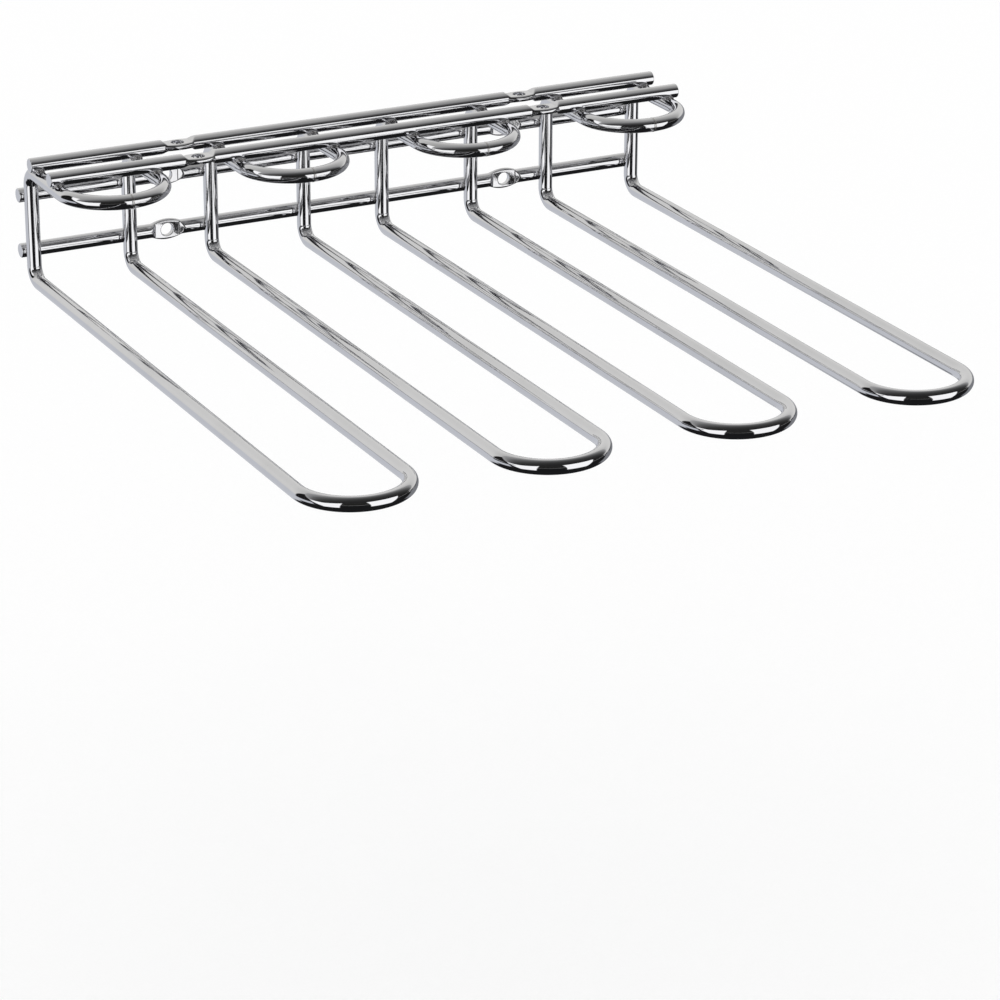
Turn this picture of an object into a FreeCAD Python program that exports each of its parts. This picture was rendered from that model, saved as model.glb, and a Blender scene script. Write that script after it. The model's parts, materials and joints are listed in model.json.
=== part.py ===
import FreeCAD, Part
import math
import os

import Sketcher
from FreeCAD import Placement, Rotation, Vector

# Stemware rack of welded round wire, for screwing to a wall or under a shelf.
#
# Frame: +X runs along the rails, +Y points into the wall, +Z is up, in millimetres.
# The origin is in the middle of the four wall screw holes, on the tabs' wall side.  The round
# part of the back rails stands 1.7 mm further back, and is what touches the wall.
#
# Four closed finger loops hang side by side.  Seen from the side each loop is a C: a short
# upper U that carries the top rails, two drops at the back, and a long lower U whose legs
# carry the feet of the glasses.  Four straight rails cross them: two lie on top of the
# upper legs and two lie behind the drops.  Every crossing is a resistance weld.

SIZES = [
    ("wire_diameter", 6.0, "round steel wire of every loop and rail"),
    ("finger_count", 4, "finger loops side by side"),
    ("finger_pitch", 80.0, "from one loop's middle to the next"),
    ("finger_width", 43.0, "between the two legs of a loop, centre to centre"),
    ("lower_reach", 286.0, "from the drops to the front of the lower U, on centre lines"),
    ("upper_reach", 57.0, "from the drops to the front of the upper U, on centre lines"),
    ("drop_height", 47.0, "from the lower legs up to the upper legs, on centre lines"),
    ("bend_radius", 6.5, "centre line radius of the bends at the back"),
    ("set_down", 0.6, "how far two wires sink into each other at a weld"),
    ("rail_length", 291.0, "each rail, end to end"),
    ("rail_end_chamfer", 0.4, "broken edge at the cut ends of a rail"),
    ("back_rail_lift", 11.3, "lower back rail above the lower legs"),
    ("back_rail_spacing", 24.0, "between the two back rails"),
    ("top_rail_setback", 10.0, "rear top rail in front of the drops"),
    ("top_rail_spacing", 22.0, "between the two top rails"),
    ("tab_spacing", 160.0, "between the two screw tabs of a rail"),
    ("tab_flat", 11.0, "pressed flat, along the rail"),
    ("tab_ramp", 1.8, "slope from the flat up to the round wire"),
    ("tab_width", 9.0, "pressed flat across the rail, at the hole"),
    ("tab_root_width", 5.2, "pressed flat where it runs into the round wire"),
    ("tab_thickness", 2.6, "pressed flat, face to face"),
    ("hole_diameter", 5.5, "screw hole in a tab"),
    ("nugget_diameter", 5.4, "weld metal squeezed out round a crossing"),
    ("nugget_height", 3.0, "depth of the weld metal before the wires are taken out of it"),
    ("seam_width", 1.4, "flash ring where the two ends of a loop's wire are joined"),
    ("seam_proud", 0.25, "flash ring above the wire's surface"),
]

doc = FreeCAD.newDocument("StemwareRack")
sheet = doc.addObject("Spreadsheet::Sheet", "Sizes")
for row, (alias, number, meaning) in enumerate(SIZES, start=1):
    sheet.set("A%d" % row, alias)
    sheet.set("B%d" % row, "%g" % number)
    sheet.set("C%d" % row, meaning)
    sheet.setAlias("B%d" % row, alias)
doc.recompute()

# Start values for the sketches' geometry; the constraints' formulas then hold it.
WIRE_R = sheet.wire_diameter / 2
LEG_X = sheet.finger_width / 2
BEND = sheet.bend_radius
DROP = sheet.drop_height
FINGERS = int(sheet.finger_count)

# How far apart the centre lines of two welded wires are.
WELDED_GAP = "(Sizes.wire_diameter - Sizes.set_down)"
# Where the back rails and the drops have their centre lines.
BACK_RAIL_Y = "-Sizes.tab_thickness / 2"
DROP_Y = BACK_RAIL_Y + " - " + WELDED_GAP
# How high the legs and the top rails are.
LOWER_LEG_Z = "-Sizes.back_rail_spacing / 2 - Sizes.back_rail_lift"
UPPER_LEG_Z = LOWER_LEG_Z + " + Sizes.drop_height"
TOP_RAIL_Z = UPPER_LEG_Z + " + " + WELDED_GAP
# A back rail is the same bar as a top rail, turned so that its tabs face the wall.
LYING = Rotation()
FACING_WALL = Rotation(Vector(1, 0, 0), -90)

RAILS = [
    ("top_rail_rear", LYING, DROP_Y + " - Sizes.top_rail_setback", TOP_RAIL_Z),
    ("top_rail_front", LYING,
     DROP_Y + " - Sizes.top_rail_setback - Sizes.top_rail_spacing", TOP_RAIL_Z),
    ("back_rail_upper", FACING_WALL, BACK_RAIL_Y, "Sizes.back_rail_spacing / 2"),
    ("back_rail_lower", FACING_WALL, BACK_RAIL_Y, "-Sizes.back_rail_spacing / 2"),
]

pieces = []


def finger_x(finger):
    """Formula for the middle of a loop, counted from 1 at the left."""
    return "(%d - (Sizes.finger_count + 1) / 2) * Sizes.finger_pitch" % finger


def stand(thing, x, y, z, turn=Rotation()):
    """Put a piece at x, y, z, each a formula or a plain text number."""
    thing.Placement = Placement(Vector(), turn)
    thing.setExpression(".Placement.Base.x", x)
    thing.setExpression(".Placement.Base.y", y)
    thing.setExpression(".Placement.Base.z", z)


def new_body(name):
    body = doc.addObject("PartDesign::Body", name)
    body.Label = name
    pieces.append(body)
    return body


def origin_of(body, role):
    """A body's own origin plane or axis."""
    return next(part for part in body.Origin.OriginFeatures if part.Role == role)


def new_sketch(body, name, plane, offset=None):
    """A sketch on one of the body's origin planes, moved along its normal by a formula."""
    sketch = body.newObject("Sketcher::SketchObject", name)
    sketch.AttachmentSupport = [(origin_of(body, plane), "")]
    sketch.MapMode = "FlatFace"
    if offset:
        sketch.setExpression(".AttachmentOffset.Base.z", offset)
    return sketch


def hold(sketch, kind, where, start, formula):
    """Add a dimension to a sketch and bind it to a formula."""
    index = sketch.addConstraint(Sketcher.Constraint(kind, *where, start))
    sketch.setExpression("Constraints[%d]" % index, formula)


def wire_circle(sketch, x, z, x_formula, z_formula, radius="Sizes.wire_diameter / 2"):
    """The round section of the wire, centred at x, z in the sketch."""
    circle = sketch.addGeometry(Part.Circle(Vector(x, z, 0), Vector(0, 0, 1), WIRE_R))
    hold(sketch, "Radius", (circle,), WIRE_R, radius)
    if x_formula:
        hold(sketch, "DistanceX", (-1, 1, circle, 3), x, x_formula)
    else:
        sketch.addConstraint(Sketcher.Constraint("PointOnObject", circle, 3, -2))
    if z_formula:
        hold(sketch, "DistanceY", (-1, 1, circle, 3), z, z_formula)
    else:
        sketch.addConstraint(Sketcher.Constraint("PointOnObject", circle, 3, -1))


def side_path(body):
    """One side of a loop: upper leg, bend, drop, bend, lower leg, seen from +X."""
    sketch = new_sketch(body, "SidePath", "YZ_Plane", "Sizes.finger_width / 2")
    upper_front = Vector(LEG_X - sheet.upper_reach, DROP, 0)
    upper_back = Vector(-BEND, DROP, 0)
    drop_top = Vector(0, DROP - BEND, 0)
    drop_foot = Vector(0, BEND, 0)
    lower_back = Vector(-BEND, 0, 0)
    lower_front = Vector(LEG_X - sheet.lower_reach, 0, 0)
    up = Vector(0, 0, 1)
    upper_bend = Part.ArcOfCircle(Part.Circle(Vector(-BEND, DROP - BEND, 0), up, BEND),
                                  0, math.pi / 2)
    lower_bend = Part.ArcOfCircle(Part.Circle(Vector(-BEND, BEND, 0), up, BEND),
                                  -math.pi / 2, 0)
    upper = sketch.addGeometry(Part.LineSegment(upper_front, upper_back))
    top_arc = sketch.addGeometry(upper_bend)
    drop = sketch.addGeometry(Part.LineSegment(drop_top, drop_foot))
    foot_arc = sketch.addGeometry(lower_bend)
    lower = sketch.addGeometry(Part.LineSegment(lower_back, lower_front))
    sketch.addConstraint([
        Sketcher.Constraint("Horizontal", upper),
        Sketcher.Constraint("Vertical", drop),
        Sketcher.Constraint("Horizontal", lower),
        Sketcher.Constraint("Tangent", upper, 2, top_arc, 2),
        Sketcher.Constraint("Tangent", top_arc, 1, drop, 1),
        Sketcher.Constraint("Tangent", drop, 2, foot_arc, 2),
        Sketcher.Constraint("Tangent", foot_arc, 1, lower, 1),
        Sketcher.Constraint("PointOnObject", drop, 1, -2),
        Sketcher.Constraint("PointOnObject", lower, 2, -1),
    ])
    hold(sketch, "Radius", (top_arc,), BEND, "Sizes.bend_radius")
    hold(sketch, "Radius", (foot_arc,), BEND, "Sizes.bend_radius")
    hold(sketch, "DistanceY", (-1, 1, upper, 1), DROP, "Sizes.drop_height")
    hold(sketch, "DistanceX", (upper, 1, -1, 1), -upper_front.x,
         "Sizes.upper_reach - Sizes.finger_width / 2")
    hold(sketch, "DistanceX", (lower, 2, -1, 1), -lower_front.x,
         "Sizes.lower_reach - Sizes.finger_width / 2")
    return sketch


def front_arc(body, name, reach, z, z_formula):
    """The half circle that closes a U at the front: the wire's section turned by 180 degrees."""
    sketch = new_sketch(body, name + "Section", "XZ_Plane", reach + " - Sizes.finger_width / 2")
    wire_circle(sketch, LEG_X, z, "Sizes.finger_width / 2", z_formula)
    arc = body.newObject("PartDesign::Revolution", name)
    arc.Profile = sketch
    arc.ReferenceAxis = (sketch, ["V_Axis"])
    arc.Angle = 180
    arc.Reversed = True
    return arc


def finger_loop(number):
    """One closed loop, its own origin between the drops at the height of the lower legs."""
    body = new_body("finger_loop_%d" % number)
    path = side_path(body)
    section = new_sketch(body, "SideSection", "XZ_Plane",
                         "Sizes.upper_reach - Sizes.finger_width / 2")
    wire_circle(section, LEG_X, DROP, "Sizes.finger_width / 2", "Sizes.drop_height")
    side = body.newObject("PartDesign::AdditivePipe", "RightSide")
    side.Profile = section
    side.Spine = path
    front_arc(body, "UpperFront", "Sizes.upper_reach", DROP, "Sizes.drop_height")
    front_arc(body, "LowerFront", "Sizes.lower_reach", 0, None)
    other_side = body.newObject("PartDesign::Mirrored", "LeftSide")
    other_side.Originals = [side]
    other_side.MirrorPlane = (origin_of(body, "YZ_Plane"), [""])
    body.Tip = other_side
    stand(body, finger_x(number), DROP_Y, LOWER_LEG_Z)


def seam(number):
    """The flash ring at the crown of the upper U, where the loop's wire is butt welded."""
    body = new_body("butt_seam_%d" % number)
    sketch = new_sketch(body, "RingSection", "XZ_Plane")
    wire_circle(sketch, LEG_X, 0, "Sizes.finger_width / 2", None)
    wire_circle(sketch, LEG_X, 0, "Sizes.finger_width / 2", None,
                "Sizes.wire_diameter / 2 + Sizes.seam_proud")
    ring = body.newObject("PartDesign::Revolution", "Ring")
    ring.Profile = sketch
    ring.ReferenceAxis = (sketch, ["V_Axis"])
    ring.Midplane = True
    ring.setExpression("Angle", "2 * atan(Sizes.seam_width / Sizes.finger_width)")
    stand(body, finger_x(number),
          DROP_Y + " - Sizes.upper_reach + Sizes.finger_width / 2", UPPER_LEG_Z,
          Rotation(Vector(0, 0, 1), -90))


def screw_tab(body):
    """Press one stretch of the bar flat, let it spread sideways, and punch the screw hole."""
    middle = sheet.tab_spacing / 2
    half_flat = sheet.tab_flat / 2
    half_thick = sheet.tab_thickness / 2
    clear = 2 * WIRE_R
    slope = sheet.tab_ramp / (WIRE_R - half_thick)
    half_mouth = half_flat + slope * (clear - half_thick)
    mouth_formula = ("Sizes.tab_flat + 2 * Sizes.tab_ramp * (2 * Sizes.wire_diameter"
                     " - Sizes.tab_thickness) / (Sizes.wire_diameter - Sizes.tab_thickness)")
    presses = new_sketch(body, "PressOutline", "XZ_Plane")
    for side in (1, -1):
        corners = [Vector(middle - half_flat, side * half_thick, 0),
                   Vector(middle + half_flat, side * half_thick, 0),
                   Vector(middle + half_mouth, side * clear, 0),
                   Vector(middle - half_mouth, side * clear, 0)]
        edges = [presses.addGeometry(Part.LineSegment(corners[i], corners[(i + 1) % 4]))
                 for i in range(4)]
        flat, ramp, mouth, far_ramp = edges
        presses.addConstraint([
            Sketcher.Constraint("Coincident", flat, 2, ramp, 1),
            Sketcher.Constraint("Coincident", ramp, 2, mouth, 1),
            Sketcher.Constraint("Coincident", mouth, 2, far_ramp, 1),
            Sketcher.Constraint("Coincident", far_ramp, 2, flat, 1),
            Sketcher.Constraint("Horizontal", flat),
            Sketcher.Constraint("Horizontal", mouth),
            Sketcher.Constraint("Equal", ramp, far_ramp),
        ])
        hold(presses, "DistanceX", (-1, 1, flat, 1), middle - half_flat,
             "Sizes.tab_spacing / 2 - Sizes.tab_flat / 2")
        hold(presses, "DistanceX", (flat, 1, flat, 2), 2 * half_flat, "Sizes.tab_flat")
        hold(presses, "DistanceX", (mouth, 2, mouth, 1), 2 * half_mouth, mouth_formula)
        if side > 0:
            hold(presses, "DistanceY", (-1, 1, flat, 1), half_thick, "Sizes.tab_thickness / 2")
            hold(presses, "DistanceY", (-1, 1, mouth, 1), clear, "Sizes.wire_diameter")
        else:
            hold(presses, "DistanceY", (flat, 1, -1, 1), half_thick, "Sizes.tab_thickness / 2")
            hold(presses, "DistanceY", (mouth, 1, -1, 1), clear, "Sizes.wire_diameter")
    pressed = body.newObject("PartDesign::Pocket", "PressedFaces")
    pressed.Profile = presses
    pressed.Midplane = True
    pressed.setExpression("Length", "2 * Sizes.wire_diameter")

    half_length = half_flat + sheet.tab_ramp
    root = sheet.tab_root_width / 2
    bulge = sheet.tab_width / 2 - root
    radius = (half_length ** 2 + bulge ** 2) / (2 * bulge)
    spread = math.asin(half_length / radius)
    outline = new_sketch(body, "TabOutline", "XY_Plane")
    arcs = []
    for side in (1, -1):
        centre = Vector(middle, side * (sheet.tab_width / 2 - radius), 0)
        toward = side * math.pi / 2
        circle = Part.Circle(centre, Vector(0, 0, 1), radius)
        arcs.append(outline.addGeometry(
            Part.ArcOfCircle(circle, toward - spread, toward + spread)))
    far, near = arcs
    right = outline.addGeometry(Part.LineSegment(Vector(middle + half_length, -root, 0),
                                                 Vector(middle + half_length, root, 0)))
    left = outline.addGeometry(Part.LineSegment(Vector(middle - half_length, root, 0),
                                                Vector(middle - half_length, -root, 0)))
    outline.addConstraint([
        Sketcher.Constraint("Coincident", right, 2, far, 1),
        Sketcher.Constraint("Coincident", far, 2, left, 1),
        Sketcher.Constraint("Coincident", left, 2, near, 1),
        Sketcher.Constraint("Coincident", near, 2, right, 1),
        Sketcher.Constraint("Symmetric", right, 1, right, 2, -1),
        Sketcher.Constraint("Symmetric", left, 1, left, 2, -1),
        Sketcher.Constraint("Equal", right, left),
        Sketcher.Constraint("Equal", far, near),
    ])
    hold(outline, "DistanceX", (-1, 1, left, 1), middle - half_length,
         "(Sizes.tab_spacing - Sizes.tab_flat) / 2 - Sizes.tab_ramp")
    hold(outline, "DistanceX", (left, 1, right, 2), 2 * half_length,
         "Sizes.tab_flat + 2 * Sizes.tab_ramp")
    hold(outline, "DistanceY", (right, 1, right, 2), 2 * root, "Sizes.tab_root_width")
    hold(outline, "Radius", (far,), radius,
         "((Sizes.tab_flat + 2 * Sizes.tab_ramp) ^ 2"
         " + (Sizes.tab_width - Sizes.tab_root_width) ^ 2)"
         " / (4 * (Sizes.tab_width - Sizes.tab_root_width))")
    spread_metal = body.newObject("PartDesign::Pad", "SpreadMetal")
    spread_metal.Profile = outline
    spread_metal.Midplane = True
    spread_metal.setExpression("Length", "Sizes.tab_thickness")

    punch = new_sketch(body, "HoleOutline", "XY_Plane")
    wire_circle(punch, middle, 0, "Sizes.tab_spacing / 2", None, "Sizes.hole_diameter / 2")
    hole = body.newObject("PartDesign::Pocket", "ScrewHole")
    hole.Profile = punch
    hole.Midplane = True
    hole.setExpression("Length", "2 * Sizes.wire_diameter")
    return [pressed, spread_metal, hole]


def weld_seats(body):
    """Hollows in the bar's underside where it has sunk onto the legs of the loops."""
    first = -(FINGERS - 1) / 2 * sheet.finger_pitch
    below = WIRE_R * 2 - sheet.set_down
    legs = new_sketch(body, "LegSections", "XZ_Plane")
    for side in (-1, 1):
        circle = legs.addGeometry(Part.Circle(Vector(first + side * LEG_X, -below, 0),
                                              Vector(0, 0, 1), WIRE_R))
        hold(legs, "Radius", (circle,), WIRE_R, "Sizes.wire_diameter / 2")
        hold(legs, "DistanceX", (circle, 3, -1, 1), -first - side * LEG_X,
             "(Sizes.finger_count - 1) / 2 * Sizes.finger_pitch - %d * Sizes.finger_width / 2"
             % side)
        hold(legs, "DistanceY", (circle, 3, -1, 1), below, WELDED_GAP)
    seats = body.newObject("PartDesign::Pocket", "FirstSeats")
    seats.Profile = legs
    seats.Midplane = True
    seats.setExpression("Length", "2 * Sizes.wire_diameter")
    row = body.newObject("PartDesign::LinearPattern", "AllSeats")
    row.Originals = [seats]
    row.Direction = (origin_of(body, "X_Axis"), [""])
    row.setExpression("Length", "(Sizes.finger_count - 1) * Sizes.finger_pitch")
    row.setExpression("Occurrences", "Sizes.finger_count")
    return row


def rail(name, turn, y, z):
    """A straight bar with two screw tabs, its own origin in its middle, tabs facing its +Z."""
    body = new_body(name)
    section = new_sketch(body, "BarSection", "YZ_Plane")
    wire_circle(section, 0, 0, None, None)
    bar = body.newObject("PartDesign::Pad", "Bar")
    bar.Profile = section
    bar.Midplane = True
    bar.setExpression("Length", "Sizes.rail_length")
    doc.recompute()
    broken_edge = body.newObject("PartDesign::Chamfer", "BrokenEnds")
    ends = ["Edge%d" % (i + 1) for i, edge in enumerate(bar.Shape.Edges)
            if isinstance(edge.Curve, Part.Circle)]
    broken_edge.Base = (bar, ends)
    broken_edge.setExpression("Size", "Sizes.rail_end_chamfer")
    tab = screw_tab(body)
    second_tab = body.newObject("PartDesign::Mirrored", "SecondTab")
    second_tab.Originals = tab
    second_tab.MirrorPlane = (origin_of(body, "YZ_Plane"), [""])
    body.Tip = second_tab
    body.Tip = weld_seats(body)
    stand(body, "0", y, z, turn)


def cylinder(name, radius, length, x, z, turn):
    """A cylinder centred on x, z of its rail's own frame, with its axis turned from +Z."""
    rod = doc.addObject("Part::Cylinder", name)
    rod.setExpression("Radius", radius)
    rod.setExpression("Height", length)
    axis = turn.multVec(Vector(0, 0, 1))
    stand(rod, "%s - %d * (%s) / 2" % (x, round(axis.x), length),
          "-%d * (%s) / 2" % (round(axis.y), length),
          "%s - %d * (%s) / 2" % (z, round(axis.z), length), turn)
    return rod


def weld_pair(rail_name, turn, y, z, number):
    """The weld metal of one loop's two crossings with one rail, in the rail's own frame."""
    name = "weld_%s_%d" % (rail_name, number)
    middle = finger_x(number)
    along_x = Rotation(Vector(0, 1, 0), 90)
    along_y = Rotation(Vector(1, 0, 0), -90)
    wire = "Sizes.wire_diameter / 2"
    reach = "2 * Sizes.wire_diameter"
    bar = cylinder(name + "_bar", wire, "Sizes.finger_width + " + reach, middle, "0", along_x)
    discs = []
    wires = [bar]
    for side in (-1, 1):
        x = "%s + %d * Sizes.finger_width / 2" % (middle, side)
        discs.append(cylinder(name + "_disc", "Sizes.nugget_diameter / 2",
                              "Sizes.nugget_height", x, "-%s / 2" % WELDED_GAP, LYING))
        wires.append(cylinder(name + "_leg", wire, reach, x, "-" + WELDED_GAP, along_y))
    metal = doc.addObject("Part::Compound", name + "_metal")
    metal.Links = discs
    taken_out = doc.addObject("Part::MultiFuse", name + "_wires")
    taken_out.Shapes = wires
    weld = doc.addObject("Part::Cut", name)
    weld.Label = name
    weld.Base = metal
    weld.Tool = taken_out
    stand(weld, "0", y, z, turn)
    pieces.append(weld)


def check_model():
    """Stop if an object failed, or if a piece isn't made of sound solids."""
    for thing in doc.Objects:
        bad = [word for word in thing.State if word in ("Invalid", "Error")]
        if bad:
            raise RuntimeError("%s failed: %s" % (thing.Name, bad))
    for piece in pieces:
        if piece.Shape.isNull() or not piece.Shape.isValid() or not piece.Shape.Solids:
            raise RuntimeError("%s has no sound solid" % piece.Label)


def check_wire_volume():
    """Compare a loop's volume with its section times the length of its centre line."""
    straight = 2 * (sheet.upper_reach + sheet.lower_reach - 2 * LEG_X - 2 * BEND
                    + DROP - 2 * BEND)
    bends = 2 * math.pi * BEND
    fronts = 2 * math.pi * LEG_X
    expected = math.pi * WIRE_R ** 2 * (straight + bends + fronts)
    for piece in pieces:
        if piece.Label.startswith("finger_loop"):
            if abs(piece.Shape.Volume / expected - 1) > 0.001:
                raise RuntimeError("%s: volume %.1f, expected %.1f"
                                   % (piece.Label, piece.Shape.Volume, expected))


for number in range(1, FINGERS + 1):
    finger_loop(number)
    seam(number)
for rail_name, turn, y, z in RAILS:
    rail(rail_name, turn, y, z)
    for number in range(1, FINGERS + 1):
        weld_pair(rail_name, turn, y, z, number)

doc.recompute()
check_model()
check_wire_volume()
os.makedirs("parts", exist_ok=True)
for piece in pieces:
    piece.Shape.exportStep("parts/%s.step" % piece.Label)
    print("%-26s %d solid(s) %9.1f mm3" % (piece.Label, len(piece.Shape.Solids),
                                          piece.Shape.Volume))
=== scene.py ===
import json
import math

import bpy
import numpy as np
from bpy.props import FloatProperty, FloatVectorProperty, PointerProperty
from mathutils import Matrix, Vector


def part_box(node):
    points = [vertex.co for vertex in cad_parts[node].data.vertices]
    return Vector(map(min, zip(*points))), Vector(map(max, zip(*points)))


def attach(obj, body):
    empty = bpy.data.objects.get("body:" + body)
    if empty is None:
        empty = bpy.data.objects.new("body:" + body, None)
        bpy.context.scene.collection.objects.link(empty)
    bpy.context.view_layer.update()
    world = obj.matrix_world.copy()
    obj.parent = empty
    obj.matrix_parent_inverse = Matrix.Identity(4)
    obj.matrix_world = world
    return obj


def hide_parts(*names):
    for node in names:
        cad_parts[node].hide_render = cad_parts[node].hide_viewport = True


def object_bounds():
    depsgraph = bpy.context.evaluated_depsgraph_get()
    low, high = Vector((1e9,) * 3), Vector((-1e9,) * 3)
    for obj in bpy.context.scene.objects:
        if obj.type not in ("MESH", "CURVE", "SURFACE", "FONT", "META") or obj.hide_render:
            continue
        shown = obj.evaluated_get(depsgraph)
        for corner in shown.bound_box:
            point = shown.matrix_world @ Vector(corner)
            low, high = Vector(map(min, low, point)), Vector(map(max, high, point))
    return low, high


bl_info = {
    "name": "Stemware Rack",
    "version": (1, 0, 0),
    "blender": (4, 5, 0),
    "location": "View3D > Sidebar > Rack",
    "description": "Chrome wire rack for stemware: finger loops, rails, welds, seams and a studio",
    "category": "Object",
}

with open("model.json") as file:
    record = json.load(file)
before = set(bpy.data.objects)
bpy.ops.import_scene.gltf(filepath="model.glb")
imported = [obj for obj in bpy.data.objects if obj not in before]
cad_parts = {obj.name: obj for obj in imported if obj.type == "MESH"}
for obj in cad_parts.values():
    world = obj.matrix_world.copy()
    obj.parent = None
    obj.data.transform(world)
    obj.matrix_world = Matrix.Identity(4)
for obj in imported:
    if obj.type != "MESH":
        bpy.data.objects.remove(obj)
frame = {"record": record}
CAD_LOW, CAD_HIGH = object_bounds()

MM = 0.001
X, Y, Z = np.eye(3)
RAILS = ("top_rail_rear", "top_rail_front", "back_rail_upper", "back_rail_lower")
FINGERS = (1, 2, 3, 4)

# How many columns of points go round a loop's or seam's wire, and round a rail.
WIRE_COLUMNS = 72
RAIL_COLUMNS = 96
# The block of the rail's grid that a screw hole replaces on the upper half of the section, as
# its first and last column; and how far it reaches along the rail.
HOLE_COLUMNS = (11, 37)
HOLE_BLOCK = 3.7 * MM
# Half the width that the pressed flat keeps where it runs into the round wire.
TAB_ROOT = 2.6 * MM
# Radius of the rounded rim of a screw hole.
HOLE_RIM = 0.28 * MM
# How far a weld's heat shows on the plate.
WELD_SPREAD = 4 * MM
# Inner radius of a weld ring, and how deep it sinks into both wires.
WELD_CORE = 1.2 * MM
WELD_SUNK = 0.12 * MM


def middle(node):
    """Middle of a CAD node's box."""
    low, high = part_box(node)
    return np.array((low + high) / 2)


def mount_size(name, key):
    """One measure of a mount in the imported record, in metres."""
    mounts = frame["record"]["mounts"]
    return next(m["dims"][key] for m in mounts if m["name"] == name) * MM


WALL_TAB_X = mount_size("wall_screws", "spacing_x_mm") / 2
HOLE_RADIUS = mount_size("wall_screws", "hole_r_mm")
LOOP_LOW, LOOP_HIGH = (np.array(corner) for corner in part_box("finger_loop_1"))
RAIL_LOW, RAIL_HIGH = (np.array(corner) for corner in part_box("top_rail_rear"))
SEAM_LOW, SEAM_HIGH = (np.array(corner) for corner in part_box("butt_seam_1"))
WIRE_RADIUS = (RAIL_HIGH[2] - RAIL_LOW[2]) / 2
RAIL_HALF_LENGTH = (RAIL_HIGH[0] - RAIL_LOW[0]) / 2
LEG_X = (LOOP_HIGH[0] - LOOP_LOW[0]) / 2 - WIRE_RADIUS
UPPER_Z, LOWER_Z = LOOP_HIGH[2] - WIRE_RADIUS, LOOP_LOW[2] + WIRE_RADIUS
DROP_Y = LOOP_HIGH[1] - WIRE_RADIUS
LOWER_CROWN_Y = LOOP_LOW[1] + WIRE_RADIUS
UPPER_CROWN_Y = SEAM_LOW[1] + (SEAM_HIGH[2] - SEAM_LOW[2]) / 2
WELDED_GAP = middle("back_rail_upper")[1] - DROP_Y


class RackSizes(bpy.types.PropertyGroup):
    bend_radius: FloatProperty(
        name="Bend radius", default=6.5 * MM, min=4 * MM, unit="LENGTH", precision=4,
        description="Centre line radius of the bends at the back of a loop")
    tab_flat: FloatProperty(
        name="Tab flat", default=11 * MM, min=8 * MM, unit="LENGTH", precision=4,
        description="Length of the pressed flat of a screw tab")
    tab_ramp: FloatProperty(
        name="Tab ramp", default=1.8 * MM, min=0.5 * MM, unit="LENGTH", precision=4,
        description="Length of the slope from a tab's flat up to the round wire")
    tab_width: FloatProperty(
        name="Tab width", default=9 * MM, min=7 * MM, unit="LENGTH", precision=4,
        description="Width of a pressed tab at its hole")
    tab_thickness: FloatProperty(
        name="Tab thickness", default=2.6 * MM, min=1 * MM, unit="LENGTH", precision=4,
        description="Thickness of a pressed tab")
    end_edge: FloatProperty(
        name="End edge", default=0.4 * MM, min=0.05 * MM, unit="LENGTH", precision=5,
        description="Radius of the rubbed edge at a rail's cut ends")
    weld_reach: FloatProperty(
        name="Weld reach", default=2.2 * MM, min=1.8 * MM, unit="LENGTH", precision=4,
        description="How far the weld metal reaches from the middle of a crossing")
    weld_bulge: FloatProperty(
        name="Weld bulge", default=0.42 * MM, min=0, unit="LENGTH", precision=5,
        description="How far the squeezed out bead bulges past that")
    seam_width: FloatProperty(
        name="Seam width", default=1.1 * MM, min=0.2 * MM, unit="LENGTH", precision=4,
        description="Width of the flash ring at a loop's butt seam")
    seam_proud: FloatProperty(
        name="Seam height", default=0.13 * MM, min=0, unit="LENGTH", precision=5,
        description="Height of the flash ring above the wire")


class RackFinish(bpy.types.PropertyGroup):
    plate_colour: FloatVectorProperty(
        name="Plate colour", subtype="COLOR", size=3, default=(0.80, 0.80, 0.82), min=0, max=1,
        description="Reflected colour of the bright chrome plate")
    weld_colour: FloatVectorProperty(
        name="Weld colour", subtype="COLOR", size=3, default=(0.70, 0.69, 0.69), min=0, max=1,
        description="Reflected colour of the plate over weld metal")
    gloss_roughness: FloatProperty(
        name="Plate roughness", default=0.035, min=0, max=1, subtype="FACTOR",
        description="Roughness of clean plate")
    weld_roughness: FloatProperty(
        name="Weld roughness", default=0.16, min=0, max=1, subtype="FACTOR",
        description="Roughness of plate over weld metal")


class RackStudio(bpy.types.PropertyGroup):
    azimuth: FloatProperty(
        name="Azimuth", default=math.radians(-27.183), subtype="ANGLE",
        description="Camera's direction round the rack, where 0 looks into the wall")
    elevation: FloatProperty(
        name="Elevation", default=math.radians(22.166), subtype="ANGLE",
        description="Camera's angle above the horizon")
    roll: FloatProperty(
        name="Roll", default=math.radians(0.184), subtype="ANGLE",
        description="Camera's tilt about its own line of sight")
    place: FloatVectorProperty(
        name="Camera place", size=3, subtype="TRANSLATION", unit="LENGTH",
        default=(-0.6665, -1.4535, 0.4999), description="Where the camera stands")
    focal_length: FloatProperty(
        name="Focal length", default=139.29, min=1,
        description="Focal length in millimetres on a 36 mm sensor")
    floor_drop: FloatProperty(
        name="Floor drop", default=0.30, min=0.05, unit="LENGTH",
        description="How far the floor lies below the rack")
    softbox_light: FloatProperty(
        name="Softbox light", default=1.15, min=0,
        description="Brightness of the two softboxes as the plate reflects them")
    paper: FloatVectorProperty(
        name="Paper colour", subtype="COLOR", size=3, default=(1.0, 1.0, 1.0),
        min=0, max=1, description="Colour of the floor and of the backdrop")


# ---------------------------------------------------------------- surfaces

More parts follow.
